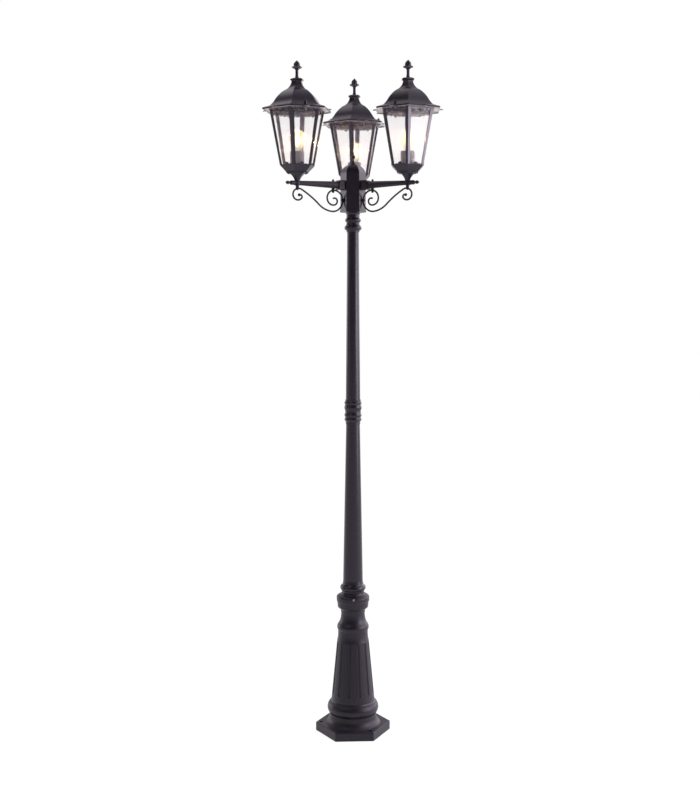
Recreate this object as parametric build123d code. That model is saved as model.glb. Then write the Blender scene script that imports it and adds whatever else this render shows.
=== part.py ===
"""Triple head lamp post: a hexagonal foot, a fluted column, a two-piece pole and a hub with
three arms, each carrying a six-sided lantern with a lift-off roof.

Millimetres. The origin is the centre of the three anchor holes, on the underside of the foot.
+Z is up and -Y is the front. Angles are counter-clockwise seen from above, from +X.
"""
from build123d import *
from math import cos, hypot, radians, sin, sqrt
import os

os.makedirs("parts", exist_ok=True)

# ---------------------------------------------------------------- driving dimensions
HEIGHT = 2340.0          # to the tips of the lantern finials
FOOT_R = 134.0           # foot plate, centre to corner
FOOT_H = 30.0            # foot plate thickness
FOOT_TURN = 2.7          # the foot and column stand turned by this much
ANCHOR_R = 114.0         # anchor holes from the post's axis
ANCHOR_HOLE_R = 6.0
WEB_Z = 30.0             # underside of the web inside the foot
WEB_T = 8.0
FLARE_TOP = 66.0         # top of the foot's flared socket
SOCKET_R = 78.0          # bore of that socket

COLLAR_TOP = 503.0       # top of the fluted column's collar
POLE_SEAT = 440.0        # ledge inside the column that the pole stands on
POLE_SOCKET_R = 33.5
FLUTES = 12
FLUTE_LOW, FLUTE_HIGH = 145.0, 324.0
FLUTE_R = 6.0
SET_SCREW_Z = 489.0

JOINT_LOW, JOINT_HIGH = 1108.0, 1194.5    # coupler between the two poles
JOINT_SOCKET = 19.0                       # depth of each of its sockets
NECK_LOW, NECK_HIGH = 1777.0, 1845.0      # ringed collar under the hub
SPIGOT_R = 19.8                           # upper end of the upper pole
CABLE_R = 4.0
CABLE_Y = 9.0                             # the feed cable runs behind the axis

HEAD_TURN = -1.4         # hub and arms
HUB_R = 43.8             # centre to corner
HUB_WALL = 5.0
HUB_HIGH = 1976.0
HUB_SOCKET_TOP = 1866.0
ARM_Z = 1936.0           # centre line of the arms
REACH = 214.0            # post axis to lantern axis
ARM_BLOCK = 62.0         # outer end of the block that bolts to the hub
ARM_HALF, ARM_END_HALF = 12.2, 7.2        # half height of the arm at the block and at the lantern
ARM_BORE = 4.5
STEM_R = 5.0
STEM_BORE = 3.0
BOSS_R, BOSS_LOW, BOSS_HIGH = 9.5, 1927.5, 1944.0
LEAD_R = 2.2
BAR_R = 3.0              # scroll bar
KNOB_AT = 77.9           # knob and drop from the post's axis
DROP_R = 5.7

LEDGE_Z = 1969.5         # lantern: lower edge of the cup's sloping plates
RIM_Z = 1992.5           # top rim of the cup, where ribs and panes stand
CROWN_Z = 2172.0         # underside of the crown ring
CROWN_SEAT = 2177.0      # face the roof rests on
BRIM_UNDER = 2175.6      # flat underside of the roof's brim
RIB_R_LOW, RIB_R_HIGH = 61.0, 96.2        # outer corner radius at the rim and at the crown
RIB_T = 2.4
RIB_W_LOW, RIB_W_HIGH = 8.3, 10.0         # width of one flange of a rib
PANE_T = 3.0
SCREW_AT = 88.0          # thumb screws from the lantern's axis
SCREW_R, SCREW_BORE = 2.0, 2.06
PAD_Z = 2186.6           # top of the roof's screw pads
FLOOR_Z = 1973.0         # floor of the cup
HOLDER_R = 23.8
LAMP_R = 30.0
LAMP_TIP = 2113.0

COS30 = cos(radians(30))
# name, arm direction, and how far the lantern is turned from square on its arm
LANTERNS = (("left", -150.0, -9.0), ("right", -30.0, -2.0), ("back", 90.0, -7.5))


# ---------------------------------------------------------------- helpers
def outline(points):
    """Edges through (r, z, bulge) points: bulge is how far the run to that point bows outwards."""
    edges = []
    for (r0, z0, _), (r1, z1, bulge) in zip(points, points[1:]):
        if bulge:
            length = hypot(r1 - r0, z1 - z0)
            mid = ((r0 + r1) / 2 + bulge * (z1 - z0) / length,
                   (z0 + z1) / 2 - bulge * (r1 - r0) / length)
            edges.append(ThreePointArc((r0, z0), mid, (r1, z1)))
        else:
            edges.append(Line((r0, z0), (r1, z1)))
    return edges


def triples(points):
    return [p if len(p) == 3 else (*p, 0) for p in points]


def turned(outer, inner=None):
    """A turned piece: the outer profile going up, and the bore's profile going up."""
    outer = triples(outer)
    edges = outline(outer)
    low, high = outer[0], outer[-1]
    if inner:
        inner = triples(inner)
        edges += outline(inner)
        pairs = [(low[:2], inner[0][:2]), (high[:2], inner[-1][:2])]
        edges += [Line(a, b) for a, b in pairs if a != b]
    else:
        ends = [p for p in (low, high) if p[0] > 0]
        edges += [Line((p[0], p[1]), (0, p[1])) for p in ends]
        edges.append(Line((0, low[1]), (0, high[1])))
    return revolve(Plane.XZ * make_face(edges), Axis.Z)


def six_sided(profile):
    """A solid with six equal sides, from (centre-to-side, z, bulge) points; corners at 0, 60..."""
    right = outline(triples(profile))
    left = [e.mirror(Plane.YZ) for e in right]
    low, high = profile[0], profile[-1]
    caps = [Line((-p[0], p[1]), (p[0], p[1])) for p in (low, high)]
    span = 2.5 * max(p[0] for p in profile)
    slab = extrude(Plane.XZ * make_face(right + left + caps), span / 2, both=True)
    shape = Rot(0, 0, 30) * slab
    for turn in (90, 150):
        shape &= Rot(0, 0, turn) * slab
    return shape


def hexagon(corner_r, low, high, turn=0.0):
    points = [(corner_r * cos(radians(turn + 60 * i)), corner_r * sin(radians(turn + 60 * i)))
              for i in range(6)]
    return Pos(0, 0, low) * extrude(make_face(Polyline(*points, close=True)), high - low)


def rod(radius, low, high, x=0.0, y=0.0):
    return Pos(x, y, low) * extrude(Circle(radius), high - low)


def along(shape):
    """Lays a shape built along +Z out along +X."""
    return Rot(0, 90, 0) * shape


def spokes(shape, count=3, first=0.0):
    return [Rot(0, 0, first + 360 / count * i) * shape for i in range(count)]


def less(shape, cutters):
    for cutter in cutters:
        shape -= cutter
    return shape


def save(node, *shapes):
    solids = [s for shape in shapes for s in shape.solids()]
    export_step(Compound(children=solids), f"parts/{node}.step")


def at_head(shape, arm):
    """Turns a shape built along +X to its arm."""
    return Rot(0, 0, arm + HEAD_TURN) * shape


def at_lantern(shape, arm, turn):
    """Places a shape built on the lantern's own axis."""
    angle = radians(arm + HEAD_TURN)
    return Pos(REACH * cos(angle), REACH * sin(angle), 0) * Rot(0, 0, arm + turn) * shape


# ---------------------------------------------------------------- foot and column
def foot():
    plate = hexagon(FOOT_R, 0, FOOT_H)
    plate = fillet(plate.edges().filter_by(Axis.Z), 5)
    plate = fillet(plate.faces().sort_by(Axis.Z)[-1].edges(), 3)
    flare = turned([(100, FOOT_H - 2), (99, FOOT_H), (84.5, 58, -4.5), (84, FLARE_TOP)])
    shape = plate + flare
    shape -= hexagon(FOOT_R - 9, 0, FOOT_H - 8)
    shape -= rod(72, FOOT_H - 8, WEB_Z)
    shape -= rod(SOCKET_R, WEB_Z + WEB_T, FLARE_TOP)
    for pad in spokes(rod(15, 0, FOOT_H - 4, ANCHOR_R - 3), 3, 60):
        shape += pad & hexagon(FOOT_R - 4, 0, FOOT_H)
    shape = less(shape, spokes(rod(ANCHOR_HOLE_R, 0, FOOT_H, ANCHOR_R), 3, 60))
    shape = less(shape, spokes(rod(4, WEB_Z, WEB_Z + WEB_T, 60), 3, 0))
    return shape


def foot_screw():
    head = rod(6.5, WEB_Z - 5, WEB_Z, 60) - hexagon(3.4, WEB_Z - 5, WEB_Z - 2).moved(Pos(60, 0, 0))
    return head + rod(4, WEB_Z, WEB_Z + WEB_T + 14, 60)


def grommet():
    low, high = WEB_Z - 2.5, WEB_Z + WEB_T + 2.5
    ring = turned([(8, low), (10.5, low), (10.5, WEB_Z), (8, WEB_Z), (8, WEB_Z + WEB_T),
                   (10.5, WEB_Z + WEB_T), (10.5, high), (8, high)],
                  [(CABLE_R, low), (CABLE_R, high)])
    return Pos(0, CABLE_Y, 0) * ring


def fluted_column():
    foot_top = WEB_Z + WEB_T
    shape = turned(
        [(SOCKET_R - 0.2, foot_top), (SOCKET_R - 0.2, FLARE_TOP), (84, FLARE_TOP), (85, 69),
         (84.5, 106, 6.6), (77, 120, -3), (56.8, 330), (53.2, 362, -1.2), (53.5, 370),
         (53.5, 391, 3.1), (43, 421, -2.4), (43.6, 438, -1), (49, 449, -2), (54.5, 458, 2),
         (55.7, 468), (58.3, 476, -0.8), (58.3, 486), (54.5, 494.5, 1.6), (44, 499.5, 0.6),
         (42, COLLAR_TOP)],
        [(70, foot_top), (70, 110), (68, 124), (50, 330), (37, 405), (29, POLE_SEAT - 8),
         (29, POLE_SEAT), (POLE_SOCKET_R, POLE_SEAT), (POLE_SOCKET_R, COLLAR_TOP)])
    shape += turned([(70.5, foot_top), (70.5, foot_top + 14)],
                    [(50, foot_top), (50, foot_top + 14)])
    shape = less(shape, spokes(flute(), FLUTES, 15))
    shape = less(shape, spokes(rod(4, foot_top, foot_top + 14, 60), 3, 0))
    hole = along(rod(4, POLE_SOCKET_R - 2, 70)).moved(Pos(0, 0, SET_SCREW_Z))
    return less(shape, spokes(hole, 3, -90))


def column_r(z):
    """Outer radius of the column's straight taper."""
    return 77 + (56.8 - 77) * (z - 120) / (330 - 120)


def flute():
    """One round-ended groove cutter on the +X side, leaning with the taper."""
    out = 2.6
    low = Vector(column_r(FLUTE_LOW) + out, 0, FLUTE_LOW)
    high = Vector(column_r(FLUTE_HIGH) + out, 0, FLUTE_HIGH)
    length = (high - low).length
    bar = extrude(Plane(origin=low, z_dir=high - low) * Circle(FLUTE_R), length)
    return bar + Pos(*low) * Sphere(FLUTE_R) + Pos(*high) * Sphere(FLUTE_R)


def set_screw():
    body = rod(4, POLE_SOCKET_R - 0.2, 56) - hexagon(2.3, 52, 56)
    return along(body).moved(Pos(0, 0, SET_SCREW_Z))


# ---------------------------------------------------------------- poles
def lower_pole():
    top = JOINT_LOW + JOINT_SOCKET
    return turned(
        [(POLE_SOCKET_R - 0.2, POLE_SEAT), (POLE_SOCKET_R - 0.2, COLLAR_TOP), (40, COLLAR_TOP),
         (39.4, 506), (41.5, 514), (43.5, 530, 3), (36.6, 538, -1), (35.2, 548), (34.9, 566),
         (24.3, JOINT_LOW), (23.8, JOINT_LOW), (23.8, top)],
        [(28.5, POLE_SEAT), (28.5, 500), (31, 560), (20.6, top)])


def joint_coupler():
    high_seat = JOINT_HIGH - JOINT_SOCKET
    return turned(
        [(25.6, JOINT_LOW), (25.8, 1113), (28, 1120, -1.2), (28, 1130, 2.2), (27.8, 1133),
         (29, 1136), (29, 1145, 1.4), (27.8, 1152.4, -0.6), (29, 1160, -0.6), (29, 1174, 1.6),
         (28.4, 1177), (29, 1180), (28.6, 1188, 1.6), (27.4, 1190), (27.4, JOINT_HIGH)],
        [(24, JOINT_LOW), (24, JOINT_LOW + JOINT_SOCKET), (20.5, JOINT_LOW + JOINT_SOCKET),
         (20.5, high_seat), (24.6, high_seat), (24.6, JOINT_HIGH)])


def upper_pole():
    seat = JOINT_HIGH - JOINT_SOCKET
    return turned(
        [(24.4, seat), (24.4, JOINT_HIGH), (25.3, JOINT_HIGH), (20.5, NECK_LOW),
         (SPIGOT_R, NECK_LOW), (SPIGOT_R, HUB_SOCKET_TOP)],
        [(20.9, seat), (16.4, NECK_LOW), (16.4, HUB_SOCKET_TOP)])


def neck_collar():
    return turned(
        [(22.4, NECK_LOW), (22.9, 1781), (27, 1785, -1), (26.6, 1799, 3), (23.6, 1804, -0.6),
         (22.6, 1809), (25.6, 1813, -0.6), (25.6, 1823, 2), (23, 1828, -0.6), (23, 1834),
         (30, NECK_HIGH, -2.6)],
        [(SPIGOT_R + 0.2, NECK_LOW), (SPIGOT_R + 0.2, NECK_HIGH)])


# ---------------------------------------------------------------- hub
def hub():
    side = HUB_R * COS30
    shape = hexagon(HUB_R, NECK_HIGH, HUB_HIGH) + hexagon(HUB_R + 1.6, NECK_HIGH, NECK_HIGH + 8)
    shape -= hexagon(HUB_R - HUB_WALL / COS30, NECK_HIGH + 12, HUB_HIGH)
    shape += rod(26, NECK_HIGH, HUB_SOCKET_TOP)
    shape -= rod(SPIGOT_R + 0.2, NECK_HIGH, HUB_SOCKET_TOP)
    for arm in (0, 120, 240):
        holes = [rod(6, side - 8, side + 2)]
        holes += [rod(2.5, side - 8, side + 2, x) for x in (-11, 11)]
        for hole in holes:
            shape -= Rot(0, 0, arm - 30) * along(hole).moved(Pos(0, 0, ARM_Z))
        stud = along(rod(2.2, side - 8, side + 2)).moved(Pos(0, 0, STUD_Z))
        shape -= Rot(0, 0, arm - 30) * stud
    return shape


def hub_cap():
    side = HUB_R * COS30
    dome = six_sided([(side, HUB_HIGH), (35.8, 1986, 0.4), (13.5, 2007.5, 3.2), (9, 2011)])
    hollow = six_sided([(side - 8, HUB_HIGH), (29, 1985, 0.4), (11.5, 2000, 2.4)])
    lip = hexagon((side - HUB_WALL - 0.2) / COS30, HUB_HIGH - 6, HUB_HIGH)
    lip -= hexagon((side - HUB_WALL - 3) / COS30, HUB_HIGH - 6, HUB_HIGH)
    return dome - hollow + lip - rod(3, 1995, 2012)


def hub_finial():
    knob = turned([(8.5, 2011), (4.6, 2018.7, -0.8), (3.4, 2026, -0.5), (4, 2028),
                   (6.2, 2039, 3.4), (0.5, 2041.5, 0.6)])
    return knob + rod(3, 2001, 2011)


def terminal_block():
    base = rod(28, HUB_SOCKET_TOP, HUB_SOCKET_TOP + 4)
    tower = Pos(0, 0, (HUB_SOCKET_TOP + 1950) / 2) * Box(24, 30, 1950 - HUB_SOCKET_TOP)
    shape = base + tower
    for arm in (0, 120, 240):
        shape -= Rot(0, 0, arm - 30) * along(rod(LEAD_R, 6, 20)).moved(Pos(0, 0, ARM_Z))
    return shape


def feed_cable():
    return rod(CABLE_R, 12, HUB_SOCKET_TOP + 8, 0, CABLE_Y)


# ---------------------------------------------------------------- arms
def octagon(half, x):
    corner = half / cos(radians(22.5))
    points = [(corner * cos(radians(22.5 + 45 * i)), corner * sin(radians(22.5 + 45 * i)))
              for i in range(8)]
    plane = Plane(origin=(x, 0, ARM_Z), x_dir=(0, 1, 0), z_dir=(1, 0, 0))
    return plane * make_face(Polyline(*points, close=True))


def arm_half(x):
    """Half height of the arm at x from the post's axis."""
    return ARM_HALF + (ARM_END_HALF - ARM_HALF) * (x - ARM_BLOCK) / (REACH - ARM_BLOCK)


def arm():
    side = HUB_R * COS30
    block = Pos((side + ARM_BLOCK) / 2, 0, ARM_Z) * Box(ARM_BLOCK - side, 32, 32)
    block = fillet(block.edges().filter_by(Axis.X), 4)
    block = chamfer(block.faces().sort_by(Axis.X)[-1].edges(), 2)
    bar = loft([octagon(ARM_HALF, ARM_BLOCK - 3), octagon(ARM_END_HALF, REACH)], ruled=True)
    end = loft([octagon(ARM_END_HALF, REACH), octagon(ARM_END_HALF, REACH + 24)], ruled=True)
    tip = loft([octagon(ARM_END_HALF, REACH + 24), octagon(4.2, REACH + 28)], ruled=True)
    shape = block + bar + end + tip + rod(BOSS_R, BOSS_LOW, BOSS_HIGH, REACH)
    shape -= along(rod(ARM_BORE, side - 1, REACH)).moved(Pos(0, 0, ARM_Z))
    shape -= rod(STEM_R, BOSS_LOW, BOSS_HIGH, REACH)
    for z in (-11, 11):
        shape -= along(rod(2.5, side - 1, side + 14)).moved(Pos(0, 0, ARM_Z + z))
    top, bottom = ARM_Z + arm_half(KNOB_AT), ARM_Z - arm_half(KNOB_AT)
    shape -= rod(2, top - 5, top + 5, KNOB_AT)
    shape -= rod(STEM_BORE, bottom - 5, bottom + 5, KNOB_AT)
    return shape - along(rod(2, REACH + 20, REACH + 30)).moved(Pos(0, 0, ARM_Z))


def arm_end_finial():
    bead = turned([(4.2, 28), (2.9, 29, -0.2), (2.9, 30.5), (5.9, 36, 1.4), (3.6, 41, 0.8),
                   (0, 44.6)])
    return along(bead + rod(2, 20, 28)).moved(Pos(REACH, 0, ARM_Z))


def arm_fixing_screws():
    """Two screws for one arm, with their heads inside the hub."""
    inner = HUB_R * COS30 - HUB_WALL
    screw = rod(4.4, inner - 3, inner) - hexagon(2.2, inner - 3, inner - 1)
    screw += rod(2.5, inner, inner + HUB_WALL + 12)
    return [along(screw).moved(Pos(0, 0, ARM_Z + z)) for z in (-11, 11)]


def arm_knob():
    top = ARM_Z + arm_half(KNOB_AT) + 0.2
    knob = turned([(3.2, 0), (3.4, 1.4), (4.2, 3.4, 0.6), (2.4, 5.6, 0.5), (0.4, 7.4, 0.3)])
    return Pos(KNOB_AT, 0, top) * (knob + rod(2, -5, 0))


def drop(x, top, bar):
    """A turned drop under the arm at x, which the scroll bar passes through."""
    shape = turned([(0, -15.6), (3.6, -14.2, 0.7), (4.4, -11.4, 0.5), (3.9, -10.4),
                    (DROP_R, -9.2), (DROP_R, -1.5), (4.6, 0)])
    return Pos(x, 0, top) * (shape + rod(STEM_BORE, 0, 4)) - bar


def hub_stud(bar):
    """The stud that ties the scroll to the hub's side."""
    side = HUB_R * COS30
    shape = turned([(2.2, side - 4), (2.2, side), (5, side), (5, side + 7.2), (3.8, side + 8),
                    (0.4, side + 10.4, 0.7)])
    return along(shape).moved(Pos(0, 0, STUD_Z)) - bar


# The scroll's centre line in the arm's plane: where it starts, its heading there, and then
# tangent arcs as (radius, turn); a minus turn is clockwise. It starts inside the inner curl.
SCROLL_START = (78.0, 1889.4)
SCROLL_HEADING = 144.2
SCROLL_ARCS = ((10.1, 125.6), (13.5, 77.2), (23.2, 94.5), (26.6, 102), (33.5, 84.5), (38.3, 96.4),
               (82.5, 38.6), (328.4, -14.2), (22, -90.1), (18.4, -124.6), (17.6, -46.6), (7, -159.5))


def scroll_path():
    x, z = SCROLL_START
    heading = radians(SCROLL_HEADING)
    edges, points = [], [(x, z)]
    for radius, turn in SCROLL_ARCS:
        side = 1 if turn > 0 else -1
        cx, cz = x - side * radius * sin(heading), z + side * radius * cos(heading)

        def at(angle):
            return (cx + side * radius * sin(angle), cz - side * radius * cos(angle))

        middle, end = at(heading + radians(turn) / 2), at(heading + radians(turn))
        edges.append(ThreePointArc((x, z), middle, end))
        heading += radians(turn)
        x, z = end
        points.append(end)
    return edges, points


SCROLL_EDGES, SCROLL_POINTS = scroll_path()
STUD_Z = SCROLL_POINTS[5][1]      # where the bar runs down beside the hub


def scroll():
    """One bar, bent in tangent arcs, with a ball forged on its outer end."""
    path = Plane.XZ * Wire(SCROLL_EDGES)
    x, z = SCROLL_START
    heading = radians(SCROLL_HEADING)
    start = Plane(origin=(x, 0, z), z_dir=(cos(heading), 0, sin(heading)))
    bar = sweep(start * Circle(BAR_R), path=path)
    x, z = SCROLL_POINTS[-1]
    return bar + Pos(x, 0, z) * Sphere(5.2)


def lamp_lead():
    """From the terminal block along the arm and up the stem to the lampholder."""
    path = FilletPolyline((12, 0, ARM_Z), (REACH, 0, ARM_Z), (REACH, 0, 1996), radius=10)
    start = Plane(origin=(12, 0, ARM_Z), z_dir=(1, 0, 0))
    return sweep(start * Circle(LEAD_R), path=path)


def stem_rod():
    """Hollow threaded rod that clamps the lantern to the arm; a slot lets the lead in."""
    shape = rod(STEM_R, BOSS_LOW, 1985) - rod(STEM_BORE, BOSS_LOW, 1985)
    slot = Pos(-STEM_R, 0, 1939) * Box(2 * STEM_R, 2 * LEAD_R + 0.6, 12)
    return Pos(REACH, 0, 0) * (shape - slot)


# ---------------------------------------------------------------- lantern
def rib_r(z):
    """Outer corner radius of the glazed cage."""
    return RIB_R_LOW + (RIB_R_HIGH - RIB_R_LOW) * (z - RIM_Z) / (CROWN_Z - RIM_Z)


SLOPE = (rib_r(100) - rib_r(0)) * COS30 / 100      # how fast the glazing leans out


def glazing_plane(angle, z, inset=0.0):
    """A plane in one sloping side: x runs across, y up the slope and z outwards."""
    side = rib_r(z) * COS30 - inset
    c, s = cos(radians(angle)), sin(radians(angle))
    return Plane(origin=(side * c, side * s, z), x_dir=(-s, c, 0), z_dir=(c, s, -SLOPE))


def rib_section(z, width):
    corner = rib_r(z)
    points = []
    for side in (1, -1):
        across = Vector(-0.5, side * COS30)
        out = Vector(COS30, side * 0.5)
        tip = Vector(corner, 0) + across * width
        pair = [tip, tip - out * RIB_T]
        points.append(pair)
    inner = Vector(corner - RIB_T / COS30, 0)
    loop = [Vector(corner, 0), *points[0], inner, points[1][1], points[1][0]]
    face = make_face(Polyline(*[(v.X, v.Y) for v in loop], close=True))
    return Pos(0, 0, z) * face


def frame_ribs():
    rib = loft([rib_section(RIM_Z, RIB_W_LOW), rib_section(CROWN_Z, RIB_W_HIGH)], ruled=True)
    return spokes(rib, 6, 0)


def panes():
    """Six flat panes behind the ribs, standing on the cup's rim."""
    low, high = RIM_Z + 0.2, CROWN_Z - 0.9
    shapes = []
    for k in range(6):
        plane = glazing_plane(30 + 60 * k, low, RIB_T + 0.15)
        half = [(rib_r(z) * COS30 - RIB_T - PANE_T - 0.6) * sin(radians(30)) / COS30 - 0.6
                for z in (low, high)]
        up = (high - low) * sqrt(1 + SLOPE * SLOPE)
        face = Polyline((-half[0], 0), (half[0], 0), (half[1], up), (-half[1], up), close=True)
        shapes.append(extrude(plane * make_face(face), -PANE_T))
    return shapes


def cup():
    """Cast bottom of the lantern: trumpet, sloping plates with a fringe, and arched tongues."""
    rim = rib_r(RIM_Z) * COS30
    ledge = 32.5
    trumpet = six_sided([(8.2, BOSS_HIGH), (26.5, LEDGE_Z, -2.6)])
    plates = six_sided([(ledge, LEDGE_Z), (rim, RIM_Z)])
    hollow = six_sided([(31.8, FLOOR_Z), (rim - 6.4, RIM_Z - 2.5), (rim - 6.4, RIM_Z)])
    shape = trumpet + plates - hollow
    for k in range(6):
        shape += cup_fringe(30 + 60 * k, ledge)
        shape += cup_tongue(30 + 60 * k)
    return shape - rod(STEM_R, BOSS_HIGH, FLOOR_Z)


def cup_fringe(angle, ledge):
    """Three small lobes that hang from the lower edge of one sloping plate."""
    plane = Plane(origin=((ledge - 0.3) * cos(radians(angle)), (ledge - 0.3) * sin(radians(angle)),
                          LEDGE_Z + 1),
                  x_dir=(-sin(radians(angle)), cos(radians(angle)), 0),
                  z_dir=(cos(radians(angle)), sin(radians(angle)), 0))
    lobes = Sketch() + [Pos(x, 0) * Circle(4.6) for x in (-10.5, 0, 10.5)]
    lobes -= Pos(0, 10) * Rectangle(60, 20)
    lobes += Rectangle(34, 0.6)
    return extrude(plane * lobes, -2)


def cup_tongue(angle):
    """The arched tongue between two ribs, in the plane of the glazing."""
    half = rib_r(RIM_Z) / 2 - RIB_W_LOW - 0.4
    tongue = Sketch() + Pos(0, 0.7) * Rectangle(2 * half, 1.6)
    tongue += [Pos(0, 1.4) * Circle(7.4), Pos(-13.6, -3.2) * Circle(6.6), Pos(13.6, -3.2) * Circle(6.6)]
    tongue -= Pos(0, -10.1) * Rectangle(60, 20)
    return extrude(glazing_plane(angle, RIM_Z) * tongue, -RIB_T)


def crown_ring():
    """Cast ring on top of the ribs, with its scalloped valance and two lugs."""
    ring = hexagon(98.2, CROWN_Z, CROWN_SEAT) - hexagon(82, CROWN_Z, CROWN_SEAT)
    ring += hexagon(88, CROWN_SEAT - 1, CROWN_SEAT + 5) - hexagon(84.5, CROWN_SEAT - 1, CROWN_SEAT + 5)
    for k in range(6):
        ring += valance(30 + 60 * k)
    for angle in (90, 270):
        lug = Pos(SCREW_AT - 4, 0, (CROWN_Z + BRIM_UNDER) / 2) * Box(22, 18, BRIM_UNDER - CROWN_Z)
        lug = fillet(lug.edges().filter_by(Axis.Z).group_by(Axis.X)[-1], 6)
        ring += Rot(0, 0, angle) * lug
        ring -= Rot(0, 0, angle) * rod(SCREW_BORE, CROWN_Z, CROWN_SEAT, SCREW_AT)
    return ring


def valance(angle):
    """One side's valance: a pointed drop in the middle and two round lobes each side."""
    half = rib_r(CROWN_Z - 12) / 2 - RIB_W_HIGH - 0.6
    sheet = Sketch() + Pos(0, -1) * Rectangle(2 * half, 3)
    for x, low, radius in ((16.5, 0.6, 7.2), (30.2, 0.4, 6.4)):
        sheet += [Pos(side * x, -low) * Circle(radius) for side in (1, -1)]
    sheet += make_face(Polyline((-9, 0), (9, 0), (6.6, -7), (0, -12.4), (-6.6, -7), close=True))
    sheet &= Pos(0, -9.9) * Rectangle(2 * half, 20)
    sheet -= Pos(0, -5) * Circle(1.5)
    return extrude(glazing_plane(angle, CROWN_Z) * sheet, -RIB_T)


def lampholder():
    shape = turned(
        [(17.5, FLOOR_Z), (17.5, 1988), (HOLDER_R, 1991), (HOLDER_R, 2038), (HOLDER_R - 1, 2040)],
        [(STEM_R, FLOOR_Z), (STEM_R, 1985), (LEAD_R, 1985), (LEAD_R, 1997)])
    core = turned([(13.9, 2005), (13.9, 2030), (20.6, 2030), (20.6, 2041)])
    return shape - core


def lamp_cap():
    """Screw cap with its ridges and centre contact."""
    ridges = []
    for i in range(5):
        z = 2009.6 + 3.6 * i
        ridges += [(13.3, z + 1.8, 0.3), (12.4, z + 3.6, 0.3)]
    return turned([(0, 2005), (4.5, 2005.4), (5, 2007), (10.5, 2009), (12.4, 2009.6),
                   *ridges, (13.2, 2029), (13.2, 2033)])


def lamp_bulb():
    """Clear envelope with its glass mount."""
    neck, centre = 2033.0, LAMP_TIP - LAMP_R
    wall = 1.0
    envelope = turned(
        [(12.6, neck), (15, 2038, 0.2), (26.5, 2067, -1.6), (LAMP_R, centre, 1),
         (LAMP_R * sin(radians(45)), centre + LAMP_R * cos(radians(45)), LAMP_R * (1 - cos(radians(22.5)))),
         (0, LAMP_TIP, LAMP_R * (1 - cos(radians(22.5))))])
    hollow = turned(
        [(12.6 - wall, neck + 1), (15 - wall, 2038, 0.2), (26.5 - wall, 2067, -1.6),
         (LAMP_R - wall, centre, 1),
         ((LAMP_R - wall) * sin(radians(45)), centre + (LAMP_R - wall) * cos(radians(45)),
          (LAMP_R - wall) * (1 - cos(radians(22.5)))),
         (0, LAMP_TIP - wall, (LAMP_R - wall) * (1 - cos(radians(22.5))))])
    mount = turned([(8, neck), (3, 2046, -1.4), (2.2, 2062), (1.2, 2064)])
    return envelope - hollow + mount


# ---------------------------------------------------------------- roof
def roof():
    """Six-sided ogee roof. Its brim is flat underneath, with a lip round the edge and a step that
    locates it over the crown ring."""
    skin = [(82.2, 2186.5), (68.4, 2204, -0.9), (39, 2238.5, 2.4), (16.4, 2270, -5.2)]
    wall = 3.0
    shape = six_sided([(105, 2173), (105, 2178), *skin])
    shape -= six_sided([(102.4, 2173), (102.4, BRIM_UNDER), (86, BRIM_UNDER), (86, CROWN_SEAT),
                        (77.3, CROWN_SEAT), (77.3, 2186), (skin[1][0] - wall, 2202, -0.9),
                        (skin[2][0] - wall, 2234.6, 2.4), (13.2, 2261, -4.6)])
    for k in range(6):
        shape += brim_leaf(30 + 60 * k)
    for angle in (90, 270):
        pad = rod(5.6, CROWN_SEAT, PAD_Z, SCREW_AT)
        shape += Rot(0, 0, angle) * pad
        shape -= Rot(0, 0, angle) * rod(SCREW_BORE, 2173, 2190, SCREW_AT)
    return shape - rod(3, 2258, 2271)


def brim_leaf(angle):
    """The small leaf that points outwards from the middle of one side of the brim."""
    leaf = make_face(Polyline((103, -11), (107, -8.5), (116.5, 0), (107, 8.5), (103, 11), close=True))
    return Rot(0, 0, angle) * Pos(0, 0, 2174.5) * extrude(leaf, 2.6)


def roof_finial():
    """Hexagonal plate, stem, six petals and a bud."""
    plate = six_sided([(16.4, 2270), (20.6, 2274, -0.6), (20.6, 2277), (15, 2280, -0.4)])
    stem = turned([(11, 2279), (6.2, 2284, -1), (5.2, 2290), (5.2, 2306), (8, 2311, -0.4),
                   (9.5, 2316), (10.6, 2326, 0.9), (6, 2334, 0.8), (0, HEIGHT)])
    dish = turned([(6, 2308), (16.6, 2314.8, -1.6), (17.4, 2317.4, 0.3), (9, 2316, 1)],
                  [(6, 2308), (5, 2312), (9, 2316)])
    notch = Pos(18.6, 0, 2306) * extrude(Circle(4.6), 16)
    dish = less(dish, spokes(notch, 6, 30))
    return plate + stem + dish + rod(3, 2262, 2271)


def thumb_screw():
    seat = PAD_Z
    shape = rod(SCREW_R, CROWN_Z + 0.5, seat, SCREW_AT)
    head = hexagon(4.8, seat, seat + 3.6)
    dome = turned([(3.4, seat + 3), (3.9, seat + 7, 0.9), (1.6, seat + 9.5, 0.3), (0, seat + 12)])
    return shape + Pos(SCREW_AT, 0, 0) * (head + dome)


# ---------------------------------------------------------------- build
def build_post():
    turn = Rot(0, 0, FOOT_TURN)
    save("foot", turn * foot() - rod(8, WEB_Z, WEB_Z + WEB_T, 0, CABLE_Y))
    save("foot_screws", *[turn * s for s in spokes(foot_screw())])
    save("cable_grommet", grommet())
    save("fluted_column", turn * fluted_column())
    save("collar_set_screws", *[turn * s for s in spokes(set_screw(), 3, -90)])
    save("lower_pole", lower_pole())
    save("joint_coupler", joint_coupler())
    save("upper_pole", upper_pole())
    save("neck_collar", neck_collar())
    head = Rot(0, 0, HEAD_TURN)
    save("hub", head * hub())
    save("hub_cap", head * hub_cap())
    save("hub_finial", hub_finial())
    save("terminal_block", head * terminal_block() - feed_cable())
    save("feed_cable", feed_cable())


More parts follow.
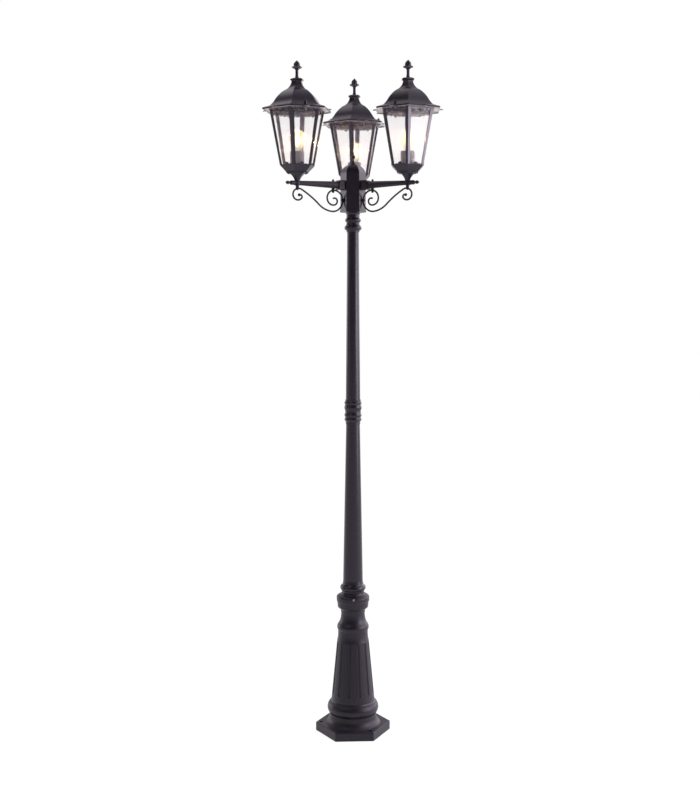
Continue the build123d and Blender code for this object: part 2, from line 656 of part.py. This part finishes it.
def build_arms():
    bar = scroll()
    for name, angle, _ in LANTERNS:
        save(f"arm_{name}", at_head(arm(), angle))
        save(f"scroll_{name}", at_head(bar, angle))
    angles = [angle for _, angle, _ in LANTERNS]
    inner = drop(KNOB_AT, ARM_Z - arm_half(KNOB_AT) - 0.2, bar)
    outer = drop(REACH, BOSS_LOW, bar)
    save("arm_end_finials", *[at_head(arm_end_finial(), a) for a in angles])
    save("arm_fixing_screws", *[at_head(s, a) for a in angles for s in arm_fixing_screws()])
    save("arm_knobs", *[at_head(arm_knob(), a) for a in angles])
    save("scroll_drops", *[at_head(s, a) for a in angles for s in (inner, outer)])
    save("scroll_hub_studs", *[at_head(hub_stud(bar), a) for a in angles])
    save("stem_rods", *[at_head(stem_rod(), a) for a in angles])
    save("lamp_leads", *[at_head(lamp_lead(), a) for a in angles])


def build_lanterns():
    pieces = {"cup": [cup()], "frame_ribs": frame_ribs(), "crown_ring": [crown_ring()],
              "panes": panes(), "lampholder": [lampholder()], "lamp_cap": [lamp_cap()],
              "lamp_bulb": [lamp_bulb()], "roof": [roof()], "roof_finial": [roof_finial()],
              "thumb_screw_a": spokes(thumb_screw(), 1, 90),
              "thumb_screw_b": spokes(thumb_screw(), 1, 270)}
    for name, angle, turn in LANTERNS:
        for piece, shapes in pieces.items():
            save(f"{piece}_{name}", *[at_lantern(s, angle, turn) for s in shapes])


build_post()
build_arms()
build_lanterns()
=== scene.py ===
import bpy
from math import atan, cos, pi, radians, sin
from mathutils import Matrix, Vector


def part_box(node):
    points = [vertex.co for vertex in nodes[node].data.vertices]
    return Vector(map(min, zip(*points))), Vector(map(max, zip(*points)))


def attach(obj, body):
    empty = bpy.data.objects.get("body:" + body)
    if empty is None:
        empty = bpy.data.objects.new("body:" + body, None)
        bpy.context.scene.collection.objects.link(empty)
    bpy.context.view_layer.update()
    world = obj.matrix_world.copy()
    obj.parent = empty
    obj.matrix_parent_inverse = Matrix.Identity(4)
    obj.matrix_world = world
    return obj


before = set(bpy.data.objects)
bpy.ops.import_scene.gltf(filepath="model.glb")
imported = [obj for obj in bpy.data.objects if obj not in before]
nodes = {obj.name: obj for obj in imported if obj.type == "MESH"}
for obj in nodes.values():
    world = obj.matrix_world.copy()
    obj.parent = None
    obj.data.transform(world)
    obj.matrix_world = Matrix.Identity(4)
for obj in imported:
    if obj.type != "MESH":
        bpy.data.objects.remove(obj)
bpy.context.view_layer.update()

# The camera looks at the post from the front, a little below head height and 4 m away, and is
# tipped down by five degrees to take in the foot.
camera_place = (-0.0106, -3.9566, 1.5552)
camera_tilt = radians(84.77)
bpy.ops.object.camera_add(location=camera_place, rotation=(camera_tilt, 0, 0))
camera = bpy.context.object
camera.data.sensor_width = 36.0
camera.data.lens = 50.86
camera.data.clip_end = 100.0
bpy.context.scene.camera = camera
bpy.context.scene.view_settings.view_transform = "Standard"

# The studio: a white sweep that stays white to the eye and in glass and paint, a big soft light
# on the right, a fainter one high on the left in front, weak ones on the left and high behind,
# and two small ones on the right, low and high, that mostly show as reflections.
for name, place, aim, size, watts in (
        ("right_softbox", (3.98, -1.0, 1.9), (0, 0, 1.3), (1.7, 2.8), 62),
        ("left_softbox", (-3.2, -1.2, 2.0), (0, 0, 1.3), (0.9, 2.6), 8),
        ("top_softbox", (-2.4, -2.6, 5.0), (0, 0, 1.9), (2.4, 2.4), 36),
        ("back_softbox", (-1.5, 1.7, 5.0), (0.1, 0, 2.1), (1.6, 1.6), 8),
        ("low_softbox", (3.12, -1.89, 1.55), (0.18, -0.11, 2.17), (0.75, 0.45), 17),
        ("high_softbox", (2.89, -1.75, 3.88), (0, 0, 2.1), (1.1, 0.7), 12)):
    bpy.ops.object.light_add(type="AREA", location=place)
    light = bpy.context.object
    light.name = name
    light.rotation_euler = (Vector(aim) - Vector(place)).to_track_quat("-Z", "Y").to_euler()
    light.data.shape = "RECTANGLE"
    light.data.size, light.data.size_y = size
    light.data.energy = watts
    light.data.color = (0.99, 0.94, 1.0)


class Value:
    """A socket in a finish, so that + - * on it add Math nodes, and | takes the larger of two."""

    def __init__(self, finish, socket):
        self.finish, self.socket = finish, socket

    def math(self, operation, first, second):
        return self.finish.node("ShaderNodeMath", {"operation": operation}, {0: first, 1: second})

    def __add__(self, other):
        return self.math("ADD", self, other)

    __radd__ = __add__

    def __sub__(self, other):
        return self.math("SUBTRACT", self, other)

    def __rsub__(self, other):
        return self.math("SUBTRACT", other, self)

    def __mul__(self, other):
        return self.math("MULTIPLY", self, other)

    __rmul__ = __mul__

    def __or__(self, other):
        return self.math("MAXIMUM", self, other)


class Finish:
    """The nodes of one finish, on a material or on the world."""

    def __init__(self, owner):
        owner.use_nodes = True
        self.owner, self.tree = owner, owner.node_tree
        self.tree.nodes.clear()

    def node(self, kind, settings, values, out=0):
        """Adds one node with its settings and its sockets' values or links, and gives an output."""
        made = self.tree.nodes.new(kind)
        for key, value in settings.items():
            setattr(made, key, value)
        for key, value in values.items():
            if isinstance(value, Value):
                self.tree.links.new(value.socket, made.inputs[key])
            else:
                made.inputs[key].default_value = value
        return Value(self, made.outputs[out]) if made.outputs else None

    def ray(self, kind):
        return self.node("ShaderNodeLightPath", {}, {}, f"Is {kind} Ray")

    def place(self):
        return self.node("ShaderNodeTexCoord", {}, {}, "Object")

    def stretched(self, x, y, z):
        return self.node("ShaderNodeMapping", {}, {"Vector": self.place(), "Scale": (x, y, z)})

    def noise(self, scale, detail, at=None):
        return self.node("ShaderNodeTexNoise", {}, {
            "Vector": at or self.place(), "Scale": scale, "Detail": detail})

    def span(self, value, low, high, bottom=0.0, top=1.0):
        return self.node("ShaderNodeMapRange", {"clamp": True}, {
            "Value": value, "From Min": low, "From Max": high, "To Min": bottom, "To Max": top})

    def blend(self, amount, first, second):
        return self.node("ShaderNodeMix", {"data_type": "RGBA"}, {
            0: amount, 6: first, 7: second}, 2)

    def facing_up(self):
        normal = self.node("ShaderNodeNewGeometry", {}, {}, "Normal")
        return self.node("ShaderNodeSeparateXYZ", {}, {"Vector": normal}, "Z")

    def bump(self, height, distance, under=None):
        values = {"Height": height, "Distance": distance}
        if under:
            values["Normal"] = under
        return self.node("ShaderNodeBump", {}, values)

    def surface(self, shader):
        self.node("ShaderNodeOutputMaterial", {}, {"Surface": shader})
        return self.owner


sweep = Finish(bpy.data.materials.new("white_sweep"))
seen = sweep.ray("Camera") | sweep.ray("Transmission") | sweep.ray("Glossy")
matt = sweep.node("ShaderNodeBsdfDiffuse", {}, {"Color": (0.86, 0.86, 0.86, 1)})
white = sweep.node("ShaderNodeEmission", {}, {"Color": (1, 1, 1, 1), "Strength": 1.15})
floor_paint = sweep.surface(sweep.node("ShaderNodeMixShader", {}, {
    0: seen * 0.82, 1: matt, 2: white}))
bpy.ops.mesh.primitive_plane_add(size=60)
floor = bpy.context.object
floor.name = "studio_floor"
floor.data.materials.append(floor_paint)

# To the eye and through glass the room is white. The paint sees a dark room in front, on the left
# and above, and lit white walls behind and on the right, with a broad bright patch a little
# behind the post's right side and a narrow one behind its left. Matt surfaces get less of it.
room = Finish(bpy.context.scene.world or bpy.data.worlds.new("room"))
bpy.context.scene.world = room.owner
way = room.node("ShaderNodeTexCoord", {}, {}, "Generated")


def toward(x, y, z):
    """How nearly a ray into the room goes one way, up to the length of that way's vector."""
    return room.node("ShaderNodeVectorMath", {"operation": "DOT_PRODUCT"}, {
        0: way, 1: (x, y, z)}, "Value")


lit_walls = room.span(toward(-0.5, -0.8, 0.33), -0.05, 0.55, 0.9, 0.04)
right_patch = room.span(toward(0.88, 0.47, 0.0), 0.55, 0.95, 0.0, 2.2)
left_patch = room.span(toward(-0.87, 0.49, 0.0), 0.93, 0.985, 0.0, 2.6)
walls = lit_walls + right_patch + left_patch
to_the_eye = room.ray("Camera") | room.ray("Transmission")
matt_share = room.span(room.ray("Diffuse"), 0, 1, 1.0, 0.7)
sky = room.node("ShaderNodeBackground", {}, {
    "Color": room.blend(to_the_eye, (0.99, 0.93, 1.0, 1), (1, 1, 1, 1)),
    "Strength": (walls * matt_share) | to_the_eye})
room.node("ShaderNodeOutputWorld", {}, {"Surface": sky})


# The foot is a hollow aluminium casting, a hexagonal plate with a flared socket. Its black
# powder coat has a fine orange peel over the sand-cast skin, and dust settles on what faces up.
def powder_coat(name, peel, sand, roughness, dust, under=0.0):
    """Black powder coat with a purple tinge: peel and sand set the depths of its two textures,
    dust is how much lies on it, and under is how strong a pale painted light, standing for light
    thrown up from below, is on what faces straight down."""
    deep_black = (0.0122, 0.0095, 0.0165, 1)
    even_black = (0.0178, 0.0142, 0.0230, 1)
    grain_tops = (0.025, 0.021, 0.031, 1)
    dust_grey = (0.11, 0.095, 0.115, 1)
    pale_painted_underlight = (0.80, 0.76, 0.80, 1)
    sand_depth, peel_depth = 0.00012 * sand, 0.00002 * peel
    coat = Finish(bpy.data.materials.new(name))
    patches = coat.noise(7.0, 4.0)
    grain = coat.noise(95.0, 3.0)
    skin = coat.noise(640.0, 2.0)
    black = coat.blend(patches, deep_black, even_black)
    black = coat.blend(coat.span(grain, 0.55, 0.78, 0.0, 0.35), black, grain_tops)
    settled = coat.span(coat.facing_up(), 0.55, 1.0) * coat.span(coat.noise(34.0, 5.0), 0.35, 0.75)
    colour = coat.blend(settled * (0.5 * dust), black, dust_grey)
    # Painted light: what faces straight down is turned pale, standing for light thrown up from the
    # floor.
    if under:
        down = coat.span(coat.facing_up(), -0.99, -0.9, under, 0.0)
        colour = coat.blend(down, colour, pale_painted_underlight)
    uneven = roughness + 0.10 * (grain - 0.5) + 0.08 * (patches - 0.5) + 0.3 * dust * settled
    normal = coat.bump(skin, peel_depth, coat.bump(grain, sand_depth))
    return coat.surface(coat.node("ShaderNodeBsdfPrincipled", {}, {
        "Base Color": colour, "Roughness": uneven, "Specular IOR Level": 0.4,
        "Specular Tint": (0.95, 0.87, 1.0, 1), "Normal": normal}))


def dress(finish, *names):
    """Puts a finish on CAD nodes."""
    for name in names:
        if not nodes[name].data.materials:
            nodes[name].data.materials.append(finish)
        for spot in nodes[name].material_slots:
            spot.material = finish


dress(powder_coat("cast_powder_coat", peel=1.0, sand=1.5, roughness=0.44, dust=0.4), "foot")

# The fluted column is one tall casting in the same paint, with a turned base ring, twelve
# round-ended flutes and a ringed collar whose three set screws grip the pole.
column_coat = powder_coat("column_powder_coat", peel=1.0, sand=1.0, roughness=0.40, dust=0.3)
dress(column_coat, "fluted_column")


# The screws that hold the column, the pole and the arms, and the hollow rods that clamp the
# lanterns, are turned steel with a thin zinc plate that dulls in spots.
def plated(name, tint, roughness):
    """Bare or plated metal with fine turning marks."""
    metal = Finish(bpy.data.materials.new(name))
    marks = metal.noise(1.0, 3.0, metal.stretched(40.0, 40.0, 900.0))
    tarnish = metal.noise(60.0, 4.0)
    dull = tuple(0.55 * c for c in tint)
    colour = metal.blend(metal.span(tarnish, 0.4, 0.75), (*tint, 1), (*dull, 1))
    return metal.surface(metal.node("ShaderNodeBsdfPrincipled", {}, {
        "Base Color": colour, "Metallic": 1.0 - 0.15 * metal.span(tarnish, 0.5, 0.8),
        "Roughness": roughness + 0.2 * (marks - 0.5) + 0.15 * tarnish,
        "Normal": metal.bump(marks, 0.00005)}))


zinc = plated("zinc_plate", tint=(0.52, 0.52, 0.5), roughness=0.3)
dress(zinc, "foot_screws", "collar_set_screws", "arm_fixing_screws", "stem_rods")

# The poles are drawn tubes in two lengths. Their coat is smoother and glossier than the
# castings', because no sand has marked the metal under it.
tube_coat = powder_coat("tube_powder_coat", peel=0.15, sand=0.06, roughness=0.25, dust=0.1)
dress(tube_coat, "lower_pole", "upper_pole")

# The coupler and the neck collar are castings that were turned all over, so their skin is nearly
# as smooth as the poles'. They slide over the poles' ends.
ring_coat = powder_coat("ring_powder_coat", peel=0.3, sand=0.2, roughness=0.27, dust=0.3)
dress(ring_coat, "joint_coupler", "neck_collar")

# The hub is a six-sided cast box with a domed cap held by its finial. The arms are screwed to
# three of its sides from within.
hub_coat = powder_coat("hub_powder_coat", peel=0.6, sand=0.5, roughness=0.34, dust=0.3)
dress(hub_coat, "hub", "hub_cap", "hub_finial")


# A rubber-sheathed cable comes up through a grommet in the foot to a nylon terminal block in the
# hub, and from there a thinner lead goes out through each arm.
def moulded(name, tint, roughness):
    """Rubber or plastic with a fine moulded skin and a little bloom."""
    skin = Finish(bpy.data.materials.new(name))
    bloom = skin.noise(45.0, 4.0)
    fine = skin.noise(900.0, 2.0)
    pale = tuple(0.6 * c + 0.05 for c in tint)
    return skin.surface(skin.node("ShaderNodeBsdfPrincipled", {}, {
        "Base Color": skin.blend(skin.span(bloom, 0.4, 0.8, 0.0, 0.5), (*tint, 1), (*pale, 1)),
        "Roughness": roughness + 0.15 * (bloom - 0.5), "Normal": skin.bump(fine, 0.00006)}))


rubber = moulded("black_rubber", tint=(0.02, 0.02, 0.021), roughness=0.6)
dress(rubber, "cable_grommet", "feed_cable", "lamp_leads")
dress(moulded("terminal_nylon", tint=(0.62, 0.6, 0.55), roughness=0.45), "terminal_block")

# Each arm is a cast bar of octagonal section on a square block, bolted to a face of the hub,
# with a turned bead on its outer end and an acorn knob on top.
arm_coat = powder_coat("arm_powder_coat", peel=1.0, sand=1.1, roughness=0.36, dust=0.3)
dress(arm_coat, "arm_left", "arm_right", "arm_back", "arm_end_finials", "arm_knobs")

# Under each arm a scroll is bent from one round bar, with a ball on its outer end. Two turned
# drops and a stud at the hub tie it.
bar_coat = powder_coat("bar_powder_coat", peel=0.7, sand=0.5, roughness=0.36, dust=0.2)
dress(bar_coat, "scroll_left", "scroll_right", "scroll_back", "scroll_drops", "scroll_hub_studs")

# Each lantern is built up from a cast cup, six angle ribs and a crown ring. Its cast roof, painted
# pale under the brim to stand for light from below, is held by two thumb screws and lifts off.
# The thin ribs are the glossiest.
LANTERNS = {            # the arm's direction, and the lantern's turn on the arm, in degrees
    "left": (-150.0, -9.0), "right": (-30.0, -2.0), "back": (90.0, -7.5)}
rib_coat = powder_coat("rib_powder_coat", peel=0.4, sand=0.2, roughness=0.17, dust=0.1)
lantern_coat = powder_coat("lantern_powder_coat", peel=0.8, sand=0.7, roughness=0.33, dust=0.3)
# The roof's coat paints pale light on what faces straight down, under the brim.
roof_coat_painted_underlight = powder_coat("roof_powder_coat_painted_underlight", peel=0.6, sand=0.5, roughness=0.32, dust=0.15,
                        under=0.8)
for side in LANTERNS:
    dress(lantern_coat, "cup_" + side)
    dress(rib_coat, "frame_ribs_" + side)
    dress(roof_coat_painted_underlight, "roof_" + side, "roof_finial_" + side)
    dress(roof_coat_painted_underlight, "thumb_screw_a_" + side, "thumb_screw_b_" + side)


# The crown ring is cast with its valance, which has a glossy skin. Its colour is painted by which
# way
# it faces, as light and shade: a dark brown painted shade outside, and a pale lavender-grey painted
# light on the inner side, which leans up to the light.
def valance_lit_and_shaded_skin():
    """Glossy enamel with painted light and shade: brown painted shade on what leans down and pale
    painted light on what leans up.
    """
    coat = Finish(bpy.data.materials.new("valance_light_and_shade_coat"))
    cloud = coat.span(coat.noise(110.0, 2.0), 0.36, 0.58)
    # Painted light and shade: what leans up takes a pale painted light, what leans down a dark brown
    # painted shade.
    inside = coat.span(coat.facing_up(), -0.1, 0.1)
    brown = coat.blend(cloud, (0.014, 0.009, 0.010, 1), (0.045, 0.034, 0.042, 1))
    pale = coat.blend(cloud, (0.27, 0.235, 0.26, 1), (0.52, 0.49, 0.56, 1))
    return coat.surface(coat.node("ShaderNodeBsdfPrincipled", {}, {
        "Base Color": coat.blend(inside, brown, pale), "Roughness": 0.17 + 0.06 * cloud,
        "Metallic": 0.42 - 0.3 * inside, "Normal": coat.bump(cloud, 0.00004)}))


valance_light_and_shade_coat = valance_lit_and_shaded_skin()
for side in LANTERNS:
    dress(valance_light_and_shade_coat, "crown_ring_" + side)

# A smooth drop leaf hangs in the middle of each side of the valance, cast in low relief on the
# scalloped sheet. It is broad at the top and drawn out to a point below.
HEAD_TURN = -1.4                            # the hub and arms, in degrees
REACH = 0.214                               # post axis to lantern axis, in metres
RIM_Z, CROWN_Z = 1.9925, 2.1720             # where the glazing starts and ends
RIB_R_LOW, RIB_R_HIGH = 0.0610, 0.0962      # lantern axis to the glazing's corner, at each end
FLARE = (RIB_R_HIGH - RIB_R_LOW) / (CROWN_Z - RIM_Z)
TO_SIDE = 30.0                              # degrees from a corner to the middle of a side


def lantern_axis(side):
    """The frame of one lantern: on its axis at ground level, +X towards a corner."""
    arm, turn = LANTERNS[side]
    angle = radians(arm + HEAD_TURN)
    stand = Matrix.Translation((REACH * cos(angle), REACH * sin(angle), 0))
    return stand @ Matrix.Rotation(radians(arm + turn), 4, "Z")


def around(side, place, first=TO_SIDE):
    """A place given on the lantern's +X, repeated on its six sides, or on its six corners where
    first is 0."""
    return [lantern_axis(side) @ Matrix.Rotation(radians(first + 60 * face), 4, "Z") @ place
            for face in range(6)]


def corner_at(z):
    """How far the glazing's corner is from the lantern's axis, which is also a side's width."""
    return RIB_R_LOW + FLARE * (z - RIM_Z)


def on_glazing(z, across=0.0, proud=0.0):
    """A place on a sloping side: +X outwards, +Y across, +Z up the slope."""
    flat = cos(radians(TO_SIDE))
    lean = Matrix.Rotation(atan(FLARE * flat), 4, "Y")
    return Matrix.Translation((corner_at(z) * flat + proud, across, z)) @ lean


def pick(piece, wanted):
    """Goes into edit mode on one piece with only the vertices selected whose place is wanted."""
    chosen = [v.index for v in piece.data.vertices if wanted(v.co)]
    bpy.ops.object.select_all(action="DESELECT")
    bpy.context.view_layer.objects.active = piece
    piece.select_set(True)
    bpy.ops.object.mode_set(mode="EDIT")
    bpy.ops.mesh.select_all(action="DESELECT")
    bpy.ops.mesh.select_mode(type="VERT")
    bpy.ops.object.mode_set(mode="OBJECT")
    for index in chosen:
        piece.data.vertices[index].select = True
    bpy.ops.object.mode_set(mode="EDIT")


def rescale(piece, wanted, scale, about=(0, 0, 0)):
    """Scales what is wanted of one piece about a point."""
    pick(piece, wanted)
    bpy.ops.transform.resize(value=scale, center_override=about)
    bpy.ops.object.mode_set(mode="OBJECT")


def leaf(length, width, rise, widths, thick=0.0011):
    """A cast leaf that hangs from the origin with its face to +X. Its midrib is raised, each row
    is drawn in to its share of the width, from the top down, and it is thickened and rounded."""
    bpy.ops.object.select_all(action="DESELECT")
    strips, last = 4, len(widths) - 1
    bpy.ops.mesh.primitive_grid_add(x_subdivisions=strips, y_subdivisions=last, size=1.0)
    blade = bpy.context.object

    def row_of(co):
        return round((0.5 - co.y) * last)

    for column, share in ((0, 1.0), (1, 0.25), (-1, 0.25)):
        pick(blade, lambda co: round(co.x * strips) == column and 0 < row_of(co) < last)
        bpy.ops.transform.translate(value=(0, 0, share * rise / length))
        bpy.ops.object.mode_set(mode="OBJECT")
    for row, share in enumerate(widths):
        rescale(blade, lambda co: row_of(co) == row, (share, 1, 1), about=(0, 0.5 - row / last, 0))
    blade.matrix_world = Matrix.Rotation(pi / 2, 4, "Y") @ Matrix.Rotation(pi / 2, 4, "Z") @ (
        Matrix.Diagonal((width, length, length, 1)) @ Matrix.Translation((0, -0.5, 0)))
    bpy.ops.object.transform_apply(location=True, rotation=True, scale=True)
    shell = blade.modifiers.new("cast", "SOLIDIFY")
    shell.thickness = thick
    shell.offset = -1.0
    round_off = blade.modifiers.new("rounded", "SUBSURF")
    round_off.levels = round_off.render_levels = 1
    for step in ("cast", "rounded"):
        bpy.ops.object.modifier_apply(modifier=step)
    return blade


def repeat(name, groups, finish, body):
    """Copies each shape of the groups to its places and joins the copies into one piece."""
    copies = []
    for shape, places in groups:
        for place in places:
            copy = shape.copy()
            copy.data = shape.data.copy()
            bpy.context.collection.objects.link(copy)
            copy.data.transform(place)
            copies.append(copy)
    bpy.ops.object.select_all(action="DESELECT")
    for copy in copies:
        copy.select_set(True)
    bpy.context.view_layer.objects.active = copies[0]
    bpy.ops.object.join()
    piece = bpy.context.object
    piece.name = name
    bpy.ops.object.mode_set(mode="EDIT")
    bpy.ops.mesh.select_all(action="SELECT")
    bpy.ops.mesh.normals_make_consistent(inside=False)
    bpy.ops.object.mode_set(mode="OBJECT")
    bpy.ops.object.shade_smooth_by_angle(angle=radians(40))
    piece.data.materials.clear()
    piece.data.materials.append(finish)
    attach(piece, body)


def clear_away(*shapes):
    """Takes the patterns off the bench once their copies are placed."""
    for shape in shapes:
        bpy.data.objects.remove(shape)


drop_leaf = leaf(length=0.0122, width=0.0145, rise=0.0012,
                 widths=(0.8, 1.0, 0.95, 0.75, 0.42, 0.04))
drop_top = CROWN_Z + 0.0002
for side in LANTERNS:
    drops = around(side, on_glazing(drop_top, proud=0.0007))
    repeat("valance_leaves_" + side, [(drop_leaf, drops)], valance_light_and_shade_coat, "post")
clear_away(drop_leaf)

# Round-headed rivets fix each rib's two flanges to the crown ring and to the cup. Each head is
# domed outside and nearly flat behind.
rivet_rows = (RIM_Z + 0.0050, CROWN_Z - 0.0065)
rivet_from_corner = 0.0046
bpy.ops.mesh.primitive_uv_sphere_add(segments=12, ring_count=8, radius=0.0012)
rivet = bpy.context.object
rescale(rivet, lambda co: co.x < -0.0001, (0.15, 1, 1))
for side in LANTERNS:
    spots = []
    for z in rivet_rows:
        edge = corner_at(z) / 2 - rivet_from_corner
        spots += around(side, on_glazing(z, -edge)) + around(side, on_glazing(z, edge))
    repeat("rib_rivets_" + side, [(rivet, spots)], lantern_coat, "post")
clear_away(rivet)

# The cup's sloping plates end in a row of cast beads, and a small veined leaf stands on each of
# its arched tongues.
bead_pitch, bead_out, bead_z = 0.0054, 0.0336, 1.9706
tongue_leaf_z = RIM_Z + 0.0083
bpy.ops.mesh.primitive_uv_sphere_add(segments=12, ring_count=8, radius=0.0019)
bead = bpy.context.object
rescale(bead, lambda co: co.z > 0.0012, (0.6, 0.6, 0.6), about=(0, 0, 0.0012))
tongue_leaf = leaf(length=0.0095, width=0.0095, rise=0.0011,
                   widths=(0.1, 0.55, 0.95, 1.0, 0.8, 0.4))
for side in LANTERNS:
    beads = []
    for step in range(-3, 4):
        beads += around(side, Matrix.Translation((bead_out, step * bead_pitch, bead_z)))
    leaves = around(side, on_glazing(tongue_leaf_z, proud=0.0006))
    repeat("cup_ornament_" + side, [(bead, beads), (tongue_leaf, leaves)], lantern_coat, "post")
clear_away(bead, tongue_leaf)

# From the middle of each side of the roof's brim a veined leaf points outwards and droops by ten
# degrees. It is cast with the roof and lifts off with it.
brim_leaf = leaf(length=0.0172, width=0.021, rise=0.0012,
                 widths=(0.75, 1.0, 0.95, 0.7, 0.4, 0.05), thick=0.0014)
brim_out, brim_z = 0.1004, CROWN_Z + 0.0054
brim_place = Matrix.Translation((brim_out, 0, brim_z)) @ Matrix.Rotation(radians(-80), 4, "Y")
for side in LANTERNS:
    repeat("brim_leaves_" + side, [(brim_leaf, around(side, brim_place))], roof_coat_painted_underlight, "roof_" + side)
clear_away(brim_leaf)

# Six petals curl up round the bud of each roof finial. They are thin, pointed leaves cast on the
# finial's stem.
petal = leaf(length=0.0112, width=0.0105, rise=0.0008,
             widths=(0.4, 0.7, 0.95, 1.0, 0.75, 0.15))
stem_out, bud_z = 0.0068, 2.3116
petal_place = Matrix.Translation((stem_out, 0, bud_z)) @ Matrix.Rotation(radians(-113), 4, "Y")
for side in LANTERNS:
    petals = around(side, petal_place, first=0)
    repeat("finial_petals_" + side, [(petal, petals)], roof_coat_painted_underlight, "roof_" + side)
clear_away(petal)


# The panes are clear float glass, cut flat and slid in behind the ribs. They are nearly unseen,
# with a faint haze and lavender tint.
def rgb(red, green, blue):
    """A colour as it is seen on a screen, 0 to 255, as the linear colour a shader takes."""
    return tuple((c / 255) ** 2.2 for c in (red, green, blue)) + (1.0,)


def pane_glass():
    """Clear glass whose haze and slight waves drift across the pane."""
    glass = Finish(bpy.data.materials.new("pane_glass"))
    haze = glass.noise(16.0, 5.0)
    wave = glass.noise(9.0, 1.0)
    return glass.surface(glass.node("ShaderNodeBsdfPrincipled", {}, {
        "Base Color": glass.blend(haze, rgb(206, 208, 226), rgb(214, 214, 230)),
        "Roughness": 0.03 + 0.05 * haze, "Alpha": 0.07 + 0.02 * glass.span(haze, 0.4, 0.8),
        "Normal": glass.bump(wave, 0.0001)}))


clear_glass = pane_glass()
for side in LANTERNS:
    dress(clear_glass, "panes_" + side)


# The lampholder is moulded and warm grey, and the lamp is a screw-base globe of clear glass whose
# cream glow thickens to a white heart.
def glow(name, inner, outer, strength, cover):
    """Lit glass: the veil drifts between two warm whites, and cover is how much it hides."""
    lit = Finish(bpy.data.materials.new(name))
    veil = lit.noise(26.0, 3.0)
    return lit.surface(lit.node("ShaderNodeBsdfPrincipled", {}, {
        "Base Color": rgb(190, 184, 170), "Roughness": 0.14 + 0.1 * veil,
        "Alpha": cover + 0.05 * veil,
        "Emission Color": lit.blend(veil, inner, outer), "Emission Strength": strength}))


def glow_shape(radius, length):
    """A long drop of light round the origin, a little narrower in its upper part."""
    bpy.ops.mesh.primitive_uv_sphere_add(segments=24, ring_count=14, radius=radius)
    shape = bpy.context.object
    rescale(shape, lambda co: True, (1, 1, length / (2 * radius)))
    rescale(shape, lambda co: co.z > 0.2 * length, (0.72, 0.72, 1))
    return shape


holder = moulded("holder_moulding", tint=rgb(140, 129, 124)[:3], roughness=0.45)
cap_metal = plated("lamp_cap_metal", tint=(0.74, 0.71, 0.66), roughness=0.22)
globe = glow("lamp_globe", rgb(255, 246, 222), rgb(255, 240, 206), strength=0.62, cover=0.12)
halo_glow = glow("lamp_halo_glow", rgb(255, 247, 228), rgb(253, 240, 210), strength=0.88,
                 cover=0.14)
heart_glow = glow("lamp_heart_glow", rgb(255, 250, 238), rgb(253, 245, 226), strength=0.66,
                  cover=0.95)
heart = glow_shape(radius=0.0115, length=0.046)
halo = glow_shape(radius=0.0185, length=0.060)
glow_z, lamp_light_z = 2.076, 2.083
for side in LANTERNS:
    spot = [lantern_axis(side) @ Matrix.Translation((0, 0, glow_z))]
    repeat("lamp_heart_" + side, [(heart, spot)], heart_glow, "lamp_" + side)
    repeat("lamp_halo_" + side, [(halo, spot)], halo_glow, "lamp_" + side)
    dress(holder, "lampholder_" + side)
    dress(cap_metal, "lamp_cap_" + side)
    dress(globe, "lamp_bulb_" + side)
    low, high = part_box("lamp_bulb_" + side)
    lamp_place = ((low.x + high.x) / 2, (low.y + high.y) / 2, lamp_light_z)
    bpy.ops.object.light_add(type="POINT", location=lamp_place)
    warm = bpy.context.object
    warm.name = "lamp_light_" + side
    warm.data.energy = 4.0
    warm.data.color = (1.0, 0.62, 0.34)
    warm.data.shadow_soft_size = 0.012
clear_away(heart, halo)
